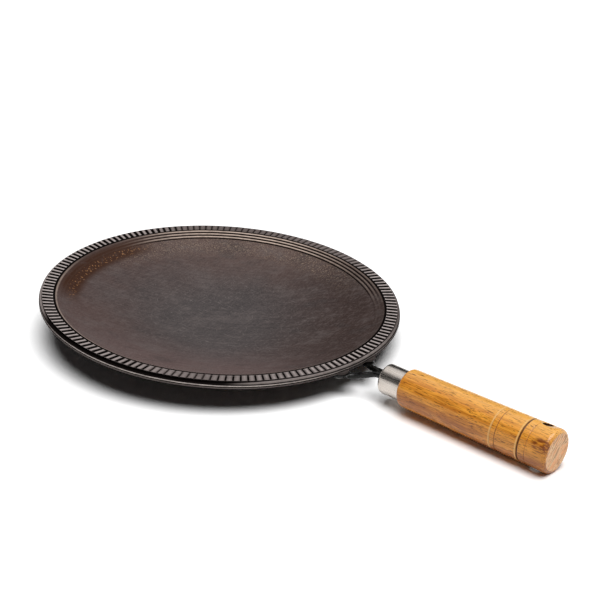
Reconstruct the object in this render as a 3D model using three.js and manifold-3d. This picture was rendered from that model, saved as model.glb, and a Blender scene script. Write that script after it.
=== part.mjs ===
// Iron roti tawa with a fluted rim and a turned wooden handle, as it lies on a table.
// Millimetres, +Z up, handle along +X. The round underside of the pan and the end of the
// grip both touch the table at z = 0, so the tawa leans a little towards its handle.
import * as THREE from 'three';
import { mergeGeometries, mergeVertices } from 'three/addons/utils/BufferGeometryUtils.js';
import Module from 'manifold-3d';

const wasm = await Module();
wasm.setup();

// Pan sizes
const rimRadius = 140;
const rimSideHeight = 5.6;
const sideBeadCount = 2;
const sideBeadHeight = 1.6;
const sideBeadShoulder = 0.5;
const sideGrooveDepth = 0.7;
const recessHeight = 1.8;
const recessDepth = 2.7;
const rimBorder = 2.4;
const fluteBandWidth = 8.6;
const fluteBandRise = 0.4;
const fluteCount = 160;
const fluteSlotWidth = 2.3;
const fluteSlotDepth = 1.2;
const fluteSlotMargin = 0.9;
const fluteSkew = THREE.MathUtils.degToRad(7);
const lineGrooveWidth = 0.9;
const lineGrooveDepth = 0.6;
const wallRun = 7.8;
const wallDrop = 4.2;
const ridgeCount = 3;
const ridgeHeight = 0.7;
const ridgeShoulder = 0.65;
const dishDepth = 22.4;
const panThickness = 3;
const basePadRadius = 12;

// Fork sizes: two bent rods that carry the handle, screwed to lugs under the rim
const lugInset = 4.5;
const lugSpread = 15;
const lugRadius = 6.8;
const lugHeight = 0.5;
const lugRootDepth = 1.4;
const screwHoleDepth = 2.6;
const rodRadius = 2.2;
const eyeRadius = 6.3;
const eyeThickness = 2.4;
const footStraight = 5;
const bendReach = 4;
const neckStraight = 3;
const tangDepth = 75;
const tangRise = 1.5;
const screwRadius = 2.5;
const screwHeadRadius = 4.4;
const screwHeadHeight = 1.2;
const screwCrownHeight = 0.5;
const screwCrownInset = 1.3;
const driverSlotWidth = 1.2;
const driverSlotDepth = 0.5;

// Handle sizes
const ferruleStandOff = 26;
const handleDrop = 4.1;
const handleRise = THREE.MathUtils.degToRad(2);
const ferruleRadius = 11.3;
const ferruleLength = 18.7;
const ferruleWall = 1;
const ferruleFrontWall = 1.2;
const ferruleRounding = 2;
const gripLength = 123.6;
const gripFrontRadius = 14.2;
const gripEndRadius = 15.7;
const gripFrontRounding = 2.5;
const gripEndRounding = 3;
const hangHoleRadius = 4;
const hangHoleInset = 11.4;
const hangHoleTurn = THREE.MathUtils.degToRad(16);
const turnedGrooves = [
  { place: 79.7, width: 1, depth: 0.45 },
  { place: 83.7, width: 1, depth: 0.45 },
  { place: 101.8, width: 1.8, depth: 1 },
  { place: 107.7, width: 0.9, depth: 0.35 },
];

// Room left between pieces that touch
const clearance = 0.3;

// How finely round shapes are cut into flat faces
const panSegments = 80;
const gripSegments = 36;
const ferruleSegments = 36;
const fastenerSegments = 24;
const arcSteps = 5;
const roundingSteps = 3;
const rodSteps = 32;
const rodSideQuarters = 3;
const weldDistance = 1e-4;

// Places on the pan, measured from the pan's axis and from the top of the rim
const bandOuter = rimRadius - rimBorder;
const bandInner = bandOuter - fluteBandWidth;
const wallTop = { r: bandInner - lineGrooveWidth, z: -fluteBandRise };
const wallFoot = { r: wallTop.r - wallRun, z: wallTop.z - wallDrop };
const wallSlope = Math.atan2(wallDrop, wallRun);
const dishSphere = (wallFoot.r ** 2 + dishDepth ** 2) / (2 * dishDepth);
const baseSphere = dishSphere + panThickness;
const sphereHeight = wallFoot.z - dishDepth + dishSphere;
const outerFoot = {
  r: wallFoot.r + panThickness * Math.sin(wallSlope),
  z: wallFoot.z - panThickness * Math.cos(wallSlope),
};
const basePadHeight = sphereHeight - Math.sqrt(baseSphere ** 2 - basePadRadius ** 2);

// Places on the fork and the handle
const handleReach = rimRadius + ferruleStandOff;
const handleHeight = -handleDrop - handleReach * Math.sin(handleRise);
const splitReach = handleReach - neckStraight - bendReach;
const rodOffset = rodRadius + clearance / 2;
const lugCircle = rimRadius - lugInset;
const lugX = Math.sqrt(lugCircle ** 2 - lugSpread ** 2);
const lugBottom = -rimSideHeight - lugHeight;
const lugRoot = -rimSideHeight + lugRootDepth;
const eyeTop = lugBottom - clearance;
const screwSeat = eyeTop - eyeThickness - clearance;
const screwHoleTop = lugBottom + screwHoleDepth;
const fastenerHole = screwRadius + clearance;
const spigotRadius = ferruleRadius - ferruleWall - clearance;
const gripStart = handleReach + ferruleLength + clearance;
const gripEnd = gripStart + gripLength;
const tangEnd = handleReach + tangDepth;

function closedSolid(geometry) {
  geometry.deleteAttribute('normal');
  geometry.deleteAttribute('uv');
  const welded = mergeVertices(geometry, weldDistance);
  const corners = welded.getIndex().array;
  const triangles = [];
  for (let i = 0; i < corners.length; i += 3) {
    const [a, b, c] = corners.slice(i, i + 3);
    if (a !== b && b !== c && c !== a) {
      triangles.push(a, b, c);
    }
  }
  return new wasm.Manifold(new wasm.Mesh({
    numProp: 3,
    vertProperties: new Float32Array(welded.getAttribute('position').array),
    triVerts: new Uint32Array(triangles),
  }));
}

function geometryOf(shape) {
  const { vertProperties, triVerts } = shape.getMesh();
  const geometry = new THREE.BufferGeometry();
  geometry.setAttribute('position', new THREE.BufferAttribute(vertProperties, 3));
  geometry.setIndex(new THREE.BufferAttribute(triVerts, 1));
  geometry.computeVertexNormals();
  return geometry;
}

// A turned shape: the profile runs up the outside and ends on the axis
function turnedUpright(profile, segments) {
  const points = profile.map(([r, z]) => new THREE.Vector2(r, z));
  return new THREE.LatheGeometry(points, segments).rotateX(Math.PI / 2);
}

function turnedAlongX(profile, segments) {
  const points = profile.map(([r, x]) => new THREE.Vector2(r, x));
  return new THREE.LatheGeometry(points, segments).rotateZ(-Math.PI / 2);
}

function uprightCylinder(radius, bottom, top) {
  const height = top - bottom;
  return new THREE.CylinderGeometry(radius, radius, height, fastenerSegments)
    .rotateX(Math.PI / 2)
    .translate(0, 0, bottom + height / 2);
}

// A quarter round between two faces of a turned piece, as profile points
function quarterRound(centreR, centreX, radius, startAngle) {
  const points = [];
  for (let i = 0; i <= roundingSteps; i++) {
    const angle = startAngle + (i / roundingSteps) * (Math.PI / 2);
    points.push([centreR + radius * Math.cos(angle), centreX + radius * Math.sin(angle)]);
  }
  return points;
}

function spherePoints(radius, startR, endR) {
  const start = Math.asin(startR / radius);
  const end = Math.asin(endR / radius);
  const points = [];
  for (let i = 0; i <= arcSteps; i++) {
    const angle = start + (i / arcSteps) * (end - start);
    points.push([radius * Math.sin(angle), sphereHeight - radius * Math.cos(angle)]);
  }
  return points;
}

function rimSideProfile() {
  const points = [];
  const grooveR = rimRadius - sideGrooveDepth;
  for (let i = 0; i < sideBeadCount; i++) {
    const z = -rimSideHeight + i * sideBeadHeight;
    points.push([grooveR, z]);
    points.push([rimRadius, z + sideBeadShoulder]);
    points.push([rimRadius, z + sideBeadHeight - sideBeadShoulder]);
  }
  const recessBottom = -rimSideHeight + sideBeadCount * sideBeadHeight;
  points.push([grooveR, recessBottom]);
  points.push([rimRadius - recessDepth, recessBottom]);
  points.push([rimRadius - recessDepth, recessBottom + recessHeight]);
  points.push([bandOuter, recessBottom + recessHeight]);
  return points;
}

// The sloping wall between rim and dish, with its round ridges, from top to foot
function ridgedWallProfile() {
  const points = [];
  const ridgeRun = wallRun / ridgeCount;
  const bulge = { r: ridgeHeight * Math.sin(wallSlope), z: ridgeHeight * Math.cos(wallSlope) };
  for (let i = 0; i < ridgeCount; i++) {
    for (const [along, height] of [[0, 0], [ridgeShoulder, 1], [ridgeRun - ridgeShoulder, 1]]) {
      const run = i * ridgeRun + along;
      const drop = run * Math.tan(wallSlope);
      points.push([wallTop.r - run - height * bulge.r, wallTop.z - drop + height * bulge.z]);
    }
  }
  return points;
}

function panProfile() {
  const lipInner = outerFoot.r + (-rimSideHeight - outerFoot.z) / Math.tan(wallSlope);
  const underside = spherePoints(baseSphere, basePadRadius, wallFoot.r).slice(0, -1);
  return [
    [0, basePadHeight],
    ...underside,
    [outerFoot.r, outerFoot.z],
    [lipInner, -rimSideHeight],
    ...rimSideProfile(),
    [bandOuter, 0],
    [bandInner, -fluteBandRise],
    [bandInner - lineGrooveWidth / 2, -fluteBandRise - lineGrooveDepth],
    ...ridgedWallProfile(),
    ...spherePoints(dishSphere, wallFoot.r, 0),
  ];
}

// The narrow slots that leave the ribs of the fluted rim standing, each a little off the radius
function fluteSlots() {
  const slope = Math.atan2(fluteBandRise, fluteBandWidth);
  const length = (fluteBandWidth - 2 * fluteSlotMargin) / Math.cos(slope);
  const middle = (bandOuter + bandInner) / 2;
  const slots = [];
  for (let i = 0; i < fluteCount; i++) {
    const slot = new THREE.BoxGeometry(length, fluteSlotWidth, 2 * fluteSlotDepth);
    slot.rotateY(-slope);
    slot.rotateZ(-fluteSkew);
    slot.translate(middle, 0, -fluteBandRise / 2);
    slot.rotateZ(((i + 0.5) / fluteCount) * 2 * Math.PI);
    slots.push(slot);
  }
  return mergeGeometries(slots);
}

function panGeometry() {
  let pan = closedSolid(turnedUpright(panProfile(), panSegments));
  pan = pan.subtract(closedSolid(fluteSlots()));
  for (const side of [1, -1]) {
    const lug = uprightCylinder(lugRadius, lugBottom, lugRoot);
    const hole = uprightCylinder(fastenerHole, lugBottom - clearance, screwHoleTop);
    pan = pan.add(closedSolid(lug.translate(lugX, side * lugSpread, 0)));
    pan = pan.subtract(closedSolid(hole.translate(lugX, side * lugSpread, 0)));
  }
  return geometryOf(pan);
}

// A point on a rod's straight stretch, which runs beside the handle's axis and a little above it
function onRodAxis(along, sideways) {
  const x = along * Math.cos(handleRise) - tangRise * Math.sin(handleRise);
  const z = along * Math.sin(handleRise) + tangRise * Math.cos(handleRise);
  return new THREE.Vector3(x, sideways, handleHeight + z);
}

// A run of straight stretches with its corners bent round
function bentPath(corners) {
  const path = new THREE.CurvePath();
  let from = corners[0];
  for (let i = 1; i < corners.length - 1; i++) {
    const corner = corners[i];
    const before = corner.clone().add(corners[i - 1].clone().sub(corner).setLength(bendReach));
    const after = corner.clone().add(corners[i + 1].clone().sub(corner).setLength(bendReach));
    path.add(new THREE.LineCurve3(from, before));
    path.add(new THREE.QuadraticBezierCurve3(before, corner, after));
    from = after;
  }
  path.add(new THREE.LineCurve3(from, corners[corners.length - 1]));
  return path;
}

// One rod: a tang inside the grip, an arm that spreads, and a flat eye under its lug
function rodGeometry(side) {
  const eye = new THREE.Vector3(lugX, side * lugSpread, eyeTop - rodRadius);
  const split = onRodAxis(splitReach, side * rodOffset);
  const arm = split.clone().sub(eye).setZ(0).normalize();
  const rodEnd = eye.clone().addScaledVector(arm, screwHeadRadius + clearance);
  const heel = rodEnd.clone().addScaledVector(arm, footStraight);
  const section = new THREE.Shape().absarc(0, 0, rodRadius, 0, 2 * Math.PI);
  const rod = new THREE.ExtrudeGeometry(section, {
    extrudePath: bentPath([rodEnd, heel, split, onRodAxis(tangEnd, side * rodOffset)]),
    steps: rodSteps,
    curveSegments: rodSideQuarters * 2,
    bevelEnabled: false,
  });
  const plate = uprightCylinder(eyeRadius, eyeTop - eyeThickness, eyeTop).translate(eye.x, eye.y, 0);
  const hole = uprightCylinder(fastenerHole, eyeTop - 2 * eyeThickness, eyeTop + eyeThickness);
  return geometryOf(
    closedSolid(rod)
      .add(closedSolid(plate))
      .subtract(closedSolid(hole.translate(eye.x, eye.y, 0))),
  );
}

function screwGeometry() {
  const head = screwSeat - screwHeadHeight;
  const profile = [
    [0, head],
    [screwHeadRadius - screwCrownInset, head],
    [screwHeadRadius, head + screwCrownHeight],
    [screwHeadRadius, screwSeat],
    [screwRadius, screwSeat],
    [screwRadius, screwHoleTop - 2 * clearance],
    [screwRadius - clearance, screwHoleTop - clearance],
    [0, screwHoleTop - clearance],
  ];
  const slotLength = 2 * (screwHeadRadius + clearance);
  const slot = new THREE.BoxGeometry(slotLength, driverSlotWidth, 2 * driverSlotDepth);
  slot.translate(0, 0, head);
  return geometryOf(
    closedSolid(turnedUpright(profile, fastenerSegments)).subtract(closedSolid(slot)),
  );
}

// The oblong passage for both rods, along the handle
function rodPassage(start, end) {
  const radius = rodRadius + clearance;
  const outline = new THREE.Shape();
  outline.absarc(0, -rodOffset, radius, Math.PI, 2 * Math.PI);
  outline.absarc(0, rodOffset, radius, 0, Math.PI);
  return new THREE.ExtrudeGeometry(outline, {
    depth: end - start,
    curveSegments: rodSideQuarters * 2,
    bevelEnabled: false,
  })
    .rotateY(Math.PI / 2)
    .translate(start, 0, tangRise);
}

function ferruleGeometry() {
  const end = handleReach + ferruleLength;
  const floor = handleReach + ferruleFrontWall;
  const roundR = ferruleRadius - ferruleRounding;
  const profile = [
    [0, handleReach],
    ...quarterRound(roundR, handleReach + ferruleRounding, ferruleRounding, -Math.PI / 2),
    [ferruleRadius, end],
    [ferruleRadius - ferruleWall, end],
    [ferruleRadius - ferruleWall, floor],
    [0, floor],
  ];
  const passage = rodPassage(handleReach - clearance, floor + clearance);
  return geometryOf(closedSolid(turnedAlongX(profile, ferruleSegments)).subtract(closedSolid(passage)));
}

function gripRadiusAt(place) {
  return THREE.MathUtils.lerp(gripFrontRadius, gripEndRadius, place / gripLength);
}

function gripProfile() {
  const spigotStart = handleReach + ferruleFrontWall + clearance;
  const frontCentre = gripStart + gripFrontRounding;
  const endCentre = gripEnd - gripEndRounding;
  const points = [[0, spigotStart], [spigotRadius, spigotStart], [spigotRadius, gripStart]];
  const frontR = gripFrontRadius - gripFrontRounding;
  points.push(...quarterRound(frontR, frontCentre, gripFrontRounding, -Math.PI / 2));
  for (const { place, width, depth } of turnedGrooves) {
    for (const [across, sunk] of [[-width / 2, 0], [0, depth], [width / 2, 0]]) {
      points.push([gripRadiusAt(place) - sunk, gripStart + place + across]);
    }
  }
  const endR = gripEndRadius - gripEndRounding;
  points.push(...quarterRound(endR, endCentre, gripEndRounding, 0));
  points.push([0, gripEnd]);
  return points;
}

function gripGeometry() {
  const tangRoom = rodPassage(handleReach, tangEnd + clearance);
  const hangHole = uprightCylinder(hangHoleRadius, -2 * gripEndRadius, 2 * gripEndRadius);
  hangHole.rotateX(-hangHoleTurn).translate(gripEnd - hangHoleInset, 0, 0);
  return geometryOf(
    closedSolid(turnedAlongX(gripProfile(), gripSegments))
      .subtract(closedSolid(tangRoom))
      .subtract(closedSolid(hangHole)),
  );
}

function piece(name, geometry, color, roughness, metalness) {
  const mesh = new THREE.Mesh(geometry, new THREE.MeshStandardMaterial({ color, roughness, metalness }));
  mesh.name = name;
  return mesh;
}

const tawa = new THREE.Group();
tawa.add(piece('pan', panGeometry(), 0x2e2826, 0.55, 0.6));
for (const [word, side] of [['left', 1], ['right', -1]]) {
  const screw = piece(`fork_screw_${word}`, screwGeometry(), 0x8c8b88, 0.4, 1);
  screw.position.set(lugX, side * lugSpread, 0);
  tawa.add(piece(`fork_rod_${word}`, rodGeometry(side), 0x141312, 0.3, 0.7), screw);
}

const handle = new THREE.Group();
handle.position.z = handleHeight;
handle.rotation.y = -handleRise;
handle.add(piece('ferrule', ferruleGeometry(), 0xb9b8b4, 0.3, 1));
handle.add(piece('grip', gripGeometry(), 0xb87428, 0.45, 0));
tawa.add(handle);

// The lean: the table touches the sphere of the underside and the round edge of the grip's end
function leanAngle() {
  const edgeAlong = gripEnd - gripEndRounding;
  const edgeDown = gripEndRadius - gripEndRounding;
  const edgeX = edgeAlong * Math.cos(handleRise) + edgeDown * Math.sin(handleRise);
  const edgeZ = handleHeight + edgeAlong * Math.sin(handleRise) - edgeDown * Math.cos(handleRise);
  const drop = sphereHeight - edgeZ;
  return Math.asin((baseSphere - gripEndRounding) / Math.hypot(edgeX, drop)) - Math.atan2(drop, edgeX);
}
tawa.rotation.y = leanAngle();

// Stand the tawa on z = 0, with the middle of its box over the origin
tawa.updateMatrixWorld(true);
const box = new THREE.Box3().setFromObject(tawa, true);
const middle = box.getCenter(new THREE.Vector3());
tawa.position.set(-middle.x, -middle.y, -box.min.z);

export default new THREE.Group().add(tawa);
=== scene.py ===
"""Roti tawa lying on a white table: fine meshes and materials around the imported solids."""
import math

import bpy
import numpy as np
from mathutils import Matrix, Vector, noise


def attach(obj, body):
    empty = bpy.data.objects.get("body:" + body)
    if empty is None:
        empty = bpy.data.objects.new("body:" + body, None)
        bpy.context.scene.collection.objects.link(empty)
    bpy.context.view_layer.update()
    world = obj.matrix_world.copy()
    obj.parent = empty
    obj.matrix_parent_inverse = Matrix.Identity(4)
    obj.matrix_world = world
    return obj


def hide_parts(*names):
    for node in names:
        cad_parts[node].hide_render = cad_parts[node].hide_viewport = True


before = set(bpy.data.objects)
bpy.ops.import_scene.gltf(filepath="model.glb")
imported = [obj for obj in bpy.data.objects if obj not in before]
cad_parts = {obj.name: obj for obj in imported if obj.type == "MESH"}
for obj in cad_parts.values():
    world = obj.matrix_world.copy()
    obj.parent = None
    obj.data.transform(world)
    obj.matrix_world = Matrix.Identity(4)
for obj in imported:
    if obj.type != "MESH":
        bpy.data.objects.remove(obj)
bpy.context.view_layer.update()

# Meshes are written in millimetres in the frame of the pan or of the handle, then put in place
MILLIMETRE = 0.001
# Rings nearer to the axis than this are single points, and edges sharper than this stay sharp
ON_AXIS = 1e-6
SHARP_ANGLE = math.radians(40)

# The lying tawa: place of the rim's middle in metres, and how far the pan leans to its handle
RIM_CENTRE = (-0.084091, 0.0, 0.030394)
LEAN = math.radians(2.9028)

# Pan sizes in millimetres, from the pan's axis and the top of the rim
RIM_RADIUS = 140.0
RIM_SIDE_HEIGHT = 5.6
SIDE_BEADS = 2
SIDE_BEAD_HEIGHT = 1.6
SIDE_GROOVE_DEPTH = 0.7
RECESS_HEIGHT = 1.8
RECESS_DEPTH = 2.7
RIM_BORDER = 2.4
BAND_WIDTH = 8.6
BAND_RISE = 0.4
FLUTES = 160
FLUTE_FLOOR = 0.95
FLUTE_EDGE = 1.45
FLUTE_DEPTH = 1.2
FLUTE_SKEW = math.radians(7)
RIB_CROWN = 0.2
LINE_GROOVE_WIDTH = 0.9
LINE_GROOVE_DEPTH = 0.6
WALL_RUN = 7.8
WALL_DROP = 4.2
RIDGES = 3
RIDGE_HEIGHT = 0.7
DISH_DEPTH = 22.4
PAN_THICKNESS = 3.0
BASE_PAD_RADIUS = 12.0

# Fork sizes in millimetres
LUG_INSET = 4.5
LUG_SPREAD = 15.0
LUG_RADIUS = 6.8
LUG_HEIGHT = 0.5
LUG_ROOT_DEPTH = 1.4
ROD_RADIUS = 2.2
EYE_RADIUS = 6.3
EYE_THICKNESS = 2.4
FOOT_STRAIGHT = 5.0
BEND_REACH = 4.0
NECK_STRAIGHT = 3.0
TANG_DEPTH = 75.0
TANG_RISE = 1.5
SCREW_RADIUS = 2.5
SCREW_HEAD_RADIUS = 4.4

# Handle sizes in millimetres
FERRULE_STAND_OFF = 26.0
HANDLE_DROP = 4.1
HANDLE_RISE = math.radians(2)
FERRULE_RADIUS = 11.3
FERRULE_LENGTH = 18.7
FERRULE_WALL = 1.0
FERRULE_FRONT_WALL = 1.2
FERRULE_ROUNDING = 2.0
GRIP_LENGTH = 123.6
GRIP_FRONT_RADIUS = 14.2
GRIP_END_RADIUS = 15.7
GRIP_FRONT_ROUNDING = 2.5
GRIP_END_ROUNDING = 3.0
HANG_HOLE_RADIUS = 4.0
HANG_HOLE_INSET = 11.4
HANG_HOLE_TURN = math.radians(16)
TURNED_GROOVES = ((79.7, 1.0, 0.45), (83.7, 1.0, 0.45), (101.8, 1.8, 1.0), (107.7, 0.9, 0.35))
CLEARANCE = 0.3

# Places that follow from those sizes
BAND_OUTER = RIM_RADIUS - RIM_BORDER
BAND_INNER = BAND_OUTER - BAND_WIDTH
BAND_MIDDLE = (BAND_OUTER + BAND_INNER) / 2
WALL_TOP = (BAND_INNER - LINE_GROOVE_WIDTH, -BAND_RISE)
WALL_FOOT = (WALL_TOP[0] - WALL_RUN, WALL_TOP[1] - WALL_DROP)
WALL_SLOPE = math.atan2(WALL_DROP, WALL_RUN)
DISH_SPHERE = (WALL_FOOT[0] ** 2 + DISH_DEPTH ** 2) / (2 * DISH_DEPTH)
BASE_SPHERE = DISH_SPHERE + PAN_THICKNESS
SPHERE_HEIGHT = WALL_FOOT[1] - DISH_DEPTH + DISH_SPHERE
OUTER_FOOT = (WALL_FOOT[0] + PAN_THICKNESS * math.sin(WALL_SLOPE),
              WALL_FOOT[1] - PAN_THICKNESS * math.cos(WALL_SLOPE))
HANDLE_REACH = RIM_RADIUS + FERRULE_STAND_OFF
HANDLE_HEIGHT = -HANDLE_DROP - HANDLE_REACH * math.sin(HANDLE_RISE)
GRIP_START = HANDLE_REACH + FERRULE_LENGTH + CLEARANCE
GRIP_END = GRIP_START + GRIP_LENGTH
LUG_X = math.sqrt((RIM_RADIUS - LUG_INSET) ** 2 - LUG_SPREAD ** 2)
LUG_BOTTOM = -RIM_SIDE_HEIGHT - LUG_HEIGHT
LUG_ROOT = -RIM_SIDE_HEIGHT + LUG_ROOT_DEPTH
EYE_TOP = LUG_BOTTOM - CLEARANCE
ROD_OFFSET = ROD_RADIUS + CLEARANCE / 2

# The camera, fitted to the photograph's rim and handle outlines
CAMERA_PLACE = (0.61732, -0.71534, 0.46694)
CAMERA_HEADING = math.radians(130.926)
CAMERA_PITCH = math.radians(23.683)
CAMERA_ROLL = math.radians(2.257)
CAMERA_LENS = 84.0
SENSOR_WIDTH = 36.0
CAMERA_REACH = 100.0

pan_place = (Matrix.Translation(RIM_CENTRE) @ Matrix.Rotation(LEAN, 4, "Y")
             @ Matrix.Scale(MILLIMETRE, 4))
handle_place = pan_place @ Matrix.Translation((0, 0, HANDLE_HEIGHT)) @ Matrix.Rotation(-HANDLE_RISE, 4, "Y")


def smooth_step(low, high, value):
    share = np.clip((value - low) / (high - low), 0, 1)
    return share * share * (3 - 2 * share)


def piece_from(name, points, faces, place):
    """A smooth mesh object from millimetre points in a local frame, keeping those points as an attribute."""
    points = np.asarray(points, float)
    mesh = bpy.data.meshes.new(name)
    mesh.from_pydata(points.tolist(), [], faces)
    mesh.validate()
    mesh.transform(place)
    mesh.shade_smooth()
    mesh.set_sharp_from_angle(angle=SHARP_ANGLE)
    piece = bpy.data.objects.new(name, mesh)
    bpy.context.scene.collection.objects.link(piece)
    keep_local_place(piece, place)
    return piece


def keep_local_place(piece, place):
    """Store each point's millimetre place in the local frame, for the materials to follow."""
    back = np.array(place.inverted())
    mesh = piece.data
    world = np.empty(len(mesh.vertices) * 3)
    mesh.vertices.foreach_get("co", world)
    local = world.reshape(-1, 3) @ back[:3, :3].T + back[:3, 3]
    attribute = mesh.attributes.get("local_mm") or mesh.attributes.new("local_mm", "FLOAT_VECTOR", "POINT")
    attribute.data.foreach_set("vector", local.astype(np.float32).ravel())
    return local


def keep_value(piece, name, values):
    attribute = piece.data.attributes.new(name, "FLOAT", "POINT")
    attribute.data.foreach_set("value", np.asarray(values, np.float32))


def finished(piece, slot, material, *nodes):
    """Hang a piece on the tawa's one body, with its material, in place of the named solids."""
    piece.data.materials.append(material)
    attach(piece, "root")
    if nodes:
        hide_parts(*nodes)
    return piece


def ring_faces(first, first_count, second, second_count):
    """Faces between two rings of points whose counts divide each other."""
    faces = []
    steps = min(first_count, second_count)
    for i in range(steps):
        sides = []
        for start, count in ((first, first_count), (second, second_count)):
            ratio = count // steps
            sides.append([start + (i * ratio + k) % count for k in range(ratio + 1)])
        faces.append(sides[0] + sides[1][::-1])
    return faces


def stacked_rings(rings):
    """Points and faces of a closed turned shape whose first and last rings are single points."""
    points, faces, starts = [], [], []
    for ring in rings:
        starts.append(len(points))
        points.extend(ring)
    for i in range(len(rings) - 1):
        count, following = len(rings[i]), len(rings[i + 1])
        if count == 1:
            faces.extend([starts[i], starts[i + 1] + (k + 1) % following, starts[i + 1] + k]
                         for k in range(following))
        elif following == 1:
            faces.extend([starts[i] + k, starts[i] + (k + 1) % count, starts[i + 1]] for k in range(count))
        else:
            faces.extend(ring_faces(starts[i], count, starts[i + 1], following))
    return points, faces


def turned_rings(profile, steps, along_x=False):
    """Rings of a profile of (radius, height) points, about Z or about X."""
    rings = []
    for radius, height in profile:
        angles = np.arange(steps) * (2 * math.pi / steps) if radius > ON_AXIS else np.zeros(1)
        across, up = radius * np.cos(angles), radius * np.sin(angles)
        level = np.full(len(angles), height)
        rings.append(np.stack([level, across, up] if along_x else [across, up, level], 1))
    return rings


def arc(centre, radius, start, end, steps):
    """Points of a round stretch of a profile."""
    angles = np.linspace(start, end, steps + 1)
    return [(centre[0] + radius * math.cos(a), centre[1] + radius * math.sin(a)) for a in angles]


# The pan
COARSE_STEPS = 2 * FLUTES
COARSE_ANGLES = np.arange(COARSE_STEPS) * 2 * math.pi / COARSE_STEPS
DISH_RINGS = 44
BASE_RINGS = 26
POINTS_A_RIDGE = 8
POINTS_A_BEAD = 8
BAND_MIDDLE_RINGS = 4
# Half of the points across one flute, in millimetres from the middle of its slot
FLUTE_POINTS = (0.0, 0.45, 0.8, 1.05, 1.3, 1.6, 2.1)
# Places of the fine rings inward from the band's outer edge and outward from its inner edge
OUTER_EDGE_RINGS = (0.0, 0.12, 0.25, 0.4, 0.8, 1.9)
INNER_EDGE_RINGS = (0.0, 0.35, 0.5, 0.65, 0.85, 1.3, 1.9)
OUTER_SLOT_END = (0.0, 0.4)
INNER_SLOT_END = (0.35, 0.85)
# The direction across the camera's view, where the flutes are seen from one side
VIEW_TURN = math.radians(39)
# Stretches of the rim in degrees round from the handle, each with its fade; the shine, dark and dull
# stretches set where painted highlights and painted shade show more or less
RIDGES_STAND = (54.0, 168.0, 14.0)
RIDGES_SHINE = (92.0, 160.0, 22.0)
VALLEYS_DARK = (82.0, 138.0, 12.0)
RECESS_OPEN = (246.0, 318.0, 12.0)
BEADS_SHINE = (262.0, 342.0, 20.0)
SIDE_DULL = (22.0, 80.0, 16.0)
SLOTS_SLIM = (288.0, 356.0, 10.0)
SLOTS_LIGHTER = (291.0, 316.0, 8.0)
BAND_DULL = (73.0, 156.0, 10.0)
EDGE_SHINES = (205.0, 345.0, 15.0)
# Values that the iron material reads at each point, which carry painted shade, wear with painted highlights,
# and soot with painted shade; and the lugs' share of each
RELIEF = ("sunk", "wear_and_highlight", "underside")
LUG_RELIEF = (0.0, 0.0, 0.5)
# Beads of the rim's side: roundness, painted shade in the gaps, and how bare they are worn and how their
# painted highlights show, with soot and painted shade on the lower bead
BEAD_ROUNDNESS = 0.6
BEAD_GAP_DARK = 1.9
BEAD_CREST = (1.6, 0.6)
LOWER_BEAD_SHINE = 0.25
LOWER_BEAD_SOOT_AND_SHADE = 0.25
DULL_BEADS = 0.3
DULL_SIDE = 0.85
BARE_AND_LIT_SIDE = 0.3
# Recess above the beads: how deep it is where filled, and its eased corners, each a run and a rise
FILLED_RECESS = 0.35
RECESS_LIP = (0.3, 0.25)
RECESS_FLOOR = (0.9, 0.05)
RECESS_CORNER = (0.2, 0.2)
RECESS_ROOF = (0.15, 0.1)
# Painted shade in the slots and painted highlights on the ribs where the flutes are seen end on, and what is
# added where they are seen from one side
SLOT_DARK = (0.9, 2.2)
RIB_EDGE = (1.8, 2.4)
RIB_SHINE = (0.22, 0.78)
# Flutes on the slim stretches, slots with less painted shade on the lighter and dull stretches and ribs with
# less painted highlight on the dull one, and the painted shade of the line along the band's inner edge
SLIMMING = 0.42
LIGHTER_SLOT_SHARE = 0.5
DULL_RIBS = 0.6
INNER_LINE_WIDTH = 0.4
INNER_LINE_DARK = 0.9
# Ridges of the wall: how worn and dull they are, and how much painted shade their valleys get and how their
# crests shine with painted highlights
LINE_GROOVE_FLOOR = (0.1, 0.9)
WORN_RIDGES = 0.06
DULL_RIDGES = 0.22
RIDGE_ROUNDNESS = 0.7
VALLEY_DARK = 1.25
DARKER_VALLEY = 0.3
VALLEY_RISE = 1.9
RIDGE_CREST = (3.4, 2.4)
# The first steps of the wall get painted shade, and the edge steps a painted highlight along the top of the
# wall on the edge stretch
DARK_STEPS = 2
EDGE_STEPS = range(2, 6)
EDGE_HIGHLIGHT = 0.3
DISH_EDGE_GAP = 0.5
# Unevenness of the casting in millimetres, which fades out near the underside
CAST_UNEVENNESS = 0.09
CAST_WAVE = 9.0
BROAD_WAVE = 6 * CAST_WAVE
UNDERSIDE_HEIGHT = -30.0
EVEN_REACH = 3.0


def on_stretch(angles, start, end, fade):
    """1 on a stretch of the rim, fading out past both its ends."""
    turn = np.degrees(angles) % 360
    return smooth_step(start - fade, start + fade, turn) * (1 - smooth_step(end - fade, end + fade, turn))


def pan_ring(radius, height, sunk=0.0, wear_and_highlight=0.0, soot_and_shade=0.0, angles=COARSE_ANGLES):
    """One ring of the pan: each point's place, its painted shade where it lies sunk, its wear and painted
    highlight, and its soot and painted shade.
    """
    if np.ndim(radius) == 0 and radius < ON_AXIS:
        angles = np.zeros(1)
    columns = (radius * np.cos(angles), radius * np.sin(angles), height, sunk, wear_and_highlight, soot_and_shade)
    return np.stack(np.broadcast_arrays(*columns), 1)


def sphere_profile(radius, start, end, steps):
    angles = np.linspace(math.asin(start / radius), math.asin(end / radius), steps + 1)
    return [(radius * math.sin(a), SPHERE_HEIGHT - radius * math.cos(a)) for a in angles]


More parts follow.
